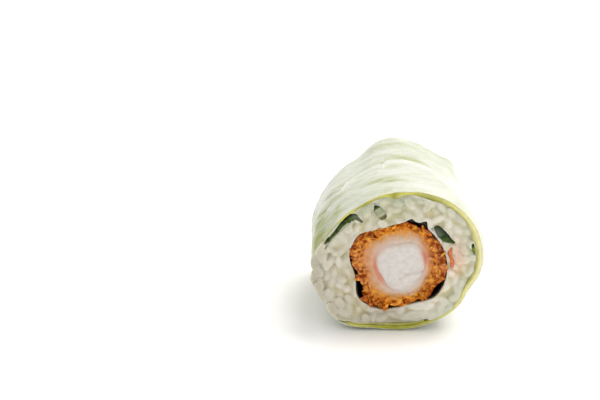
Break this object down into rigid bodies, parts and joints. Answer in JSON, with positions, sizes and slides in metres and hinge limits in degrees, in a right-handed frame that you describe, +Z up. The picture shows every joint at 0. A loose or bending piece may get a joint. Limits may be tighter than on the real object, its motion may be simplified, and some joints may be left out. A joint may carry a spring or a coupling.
{
  "type": "sliced rice paper roll",
  "caption": "Sliced rice paper roll on its side: rice paper and lettuce leaf round sticky rice, nori, a crumbed fried prawn, herbs and a carrot shred, cut flat at both ends.",
  "frame": {"origin": "on the surface that the roll lies on, under the middle of the roll", "axes": "+Y along the roll from its front cut to its rear cut, +X to the right of the front cut, +Z up"},
  "size_m": [0.05, 0.057, 0.043],
  "materials": {
    "rice_paper": "damp translucent rice paper, pale green where the leaf shows through, soft gloss",
    "lettuce": "thin yellow-green lettuce leaf with pale veins, waxy",
    "rice": "sticky cooked white rice, translucent grains",
    "nori": "near-black seaweed sheet, torn edge",
    "crumb_coat": "golden brown fried crumbs outside, pink-beige batter inside",
    "prawn": "moist white prawn flesh with a pink-red edge",
    "herb": "dark green herb leaf",
    "herb_stem": "grey-green herb stem",
    "carrot": "moist orange-red shred",
    "chive": "green chive piece"
  },
  "bodies": {
    "root": {"rice_paper": "rice_paper", "lettuce_leaf": "lettuce", "rice": "rice", "nori_sheet": "nori", "crumb_coat": "crumb_coat", "prawn": "prawn", "herb_leaf": "herb", "herb_stem": "herb_stem", "rolled_leaf": "herb", "carrot_shred": "carrot", "chive": "chive"}
  },
  "joints": []
}
